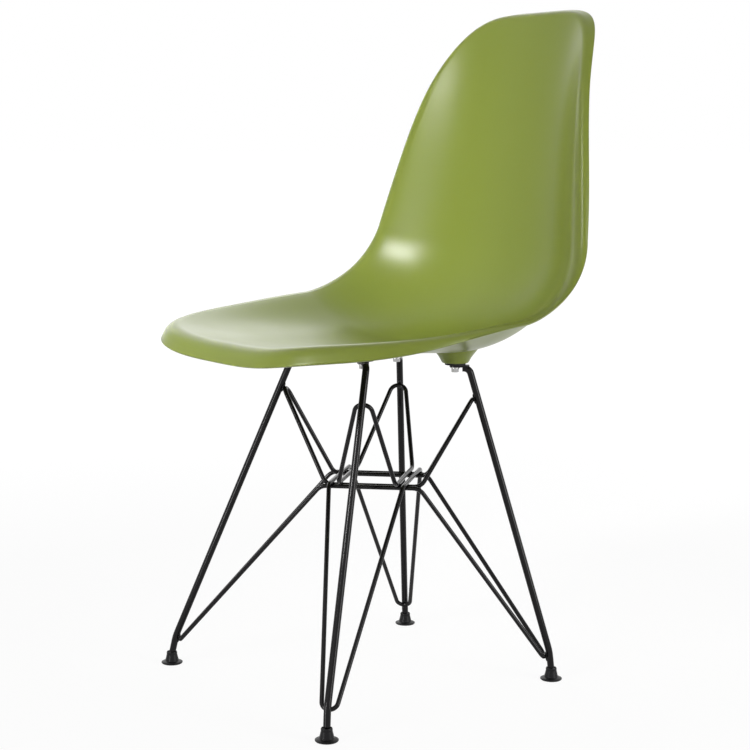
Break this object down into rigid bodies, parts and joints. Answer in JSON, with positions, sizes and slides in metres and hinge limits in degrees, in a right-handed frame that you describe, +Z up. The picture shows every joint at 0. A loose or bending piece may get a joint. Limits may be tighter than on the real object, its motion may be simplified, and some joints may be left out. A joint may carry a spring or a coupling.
{
  "type": "moulded plastic shell chair",
  "caption": "Armless dining chair: a one-piece moulded plastic seat and back with a rolled rim, bolted to a base of bent and welded wire on self-levelling glides.",
  "frame": {"origin": "centre of the bounding box on the floor, between the four glides", "axes": "+Z up, -Y towards the front of the seat, +X towards the sitter's left"},
  "size_m": [0.4706, 0.4958, 0.8281],
  "materials": {
    "shell_plastic": "satin moulded plastic, through-coloured olive green",
    "black_wire": "semi-gloss black powder coat on steel",
    "zinc_steel": "bright zinc plate",
    "insert_brass": "turned brass",
    "black_rubber": "black rubber, matt",
    "glide_plastic": "black plastic, satin"
  },
  "bodies": {
    "chair": {"seat_shell": "shell_plastic", "leg_front_left": "black_wire", "leg_front_right": "black_wire", "leg_rear_left": "black_wire", "leg_rear_right": "black_wire", "upper_brace_over": "black_wire", "upper_brace_under": "black_wire", "lower_brace_over": "black_wire", "lower_brace_under": "black_wire", "threaded_insert_front_left": "insert_brass", "threaded_insert_front_right": "insert_brass", "threaded_insert_rear_left": "insert_brass", "threaded_insert_rear_right": "insert_brass", "spacer_pad_front_left": "black_rubber", "spacer_pad_front_right": "black_rubber", "spacer_pad_rear_left": "black_rubber", "spacer_pad_rear_right": "black_rubber", "flat_washer_front_left": "zinc_steel", "flat_washer_front_right": "zinc_steel", "flat_washer_rear_left": "zinc_steel", "flat_washer_rear_right": "zinc_steel", "spring_washer_front_left": "zinc_steel", "spring_washer_front_right": "zinc_steel", "spring_washer_rear_left": "zinc_steel", "spring_washer_rear_right": "zinc_steel", "bolt_front_left": "zinc_steel", "bolt_front_right": "zinc_steel", "bolt_rear_left": "zinc_steel", "bolt_rear_right": "zinc_steel"},
    "foot_front_left": {"glide_front_left": "glide_plastic"},
    "foot_front_right": {"glide_front_right": "glide_plastic"},
    "foot_rear_left": {"glide_rear_left": "glide_plastic"},
    "foot_rear_right": {"glide_rear_right": "glide_plastic"}
  },
  "joints": [
    {"name": "foot_front_left_tilt", "type": "hinge", "parent": "chair", "child": "foot_front_left", "pos_m": [0.1785, -0.2088, 0.0115], "axis": [-0.6709, -0.7415, 0], "range_deg": [-5, 5]},
    {"name": "foot_front_right_tilt", "type": "hinge", "parent": "chair", "child": "foot_front_right", "pos_m": [-0.1785, -0.2088, 0.0115], "axis": [-0.6709, 0.7415, 0], "range_deg": [-5, 5]},
    {"name": "foot_rear_left_tilt", "type": "hinge", "parent": "chair", "child": "foot_rear_left", "pos_m": [0.1536, 0.1492, 0.0115], "axis": [0.8, -0.6, 0], "range_deg": [-5, 5]},
    {"name": "foot_rear_right_tilt", "type": "hinge", "parent": "chair", "child": "foot_rear_right", "pos_m": [-0.1536, 0.1492, 0.0115], "axis": [0.8, 0.6, 0], "range_deg": [-5, 5]}
  ]
}
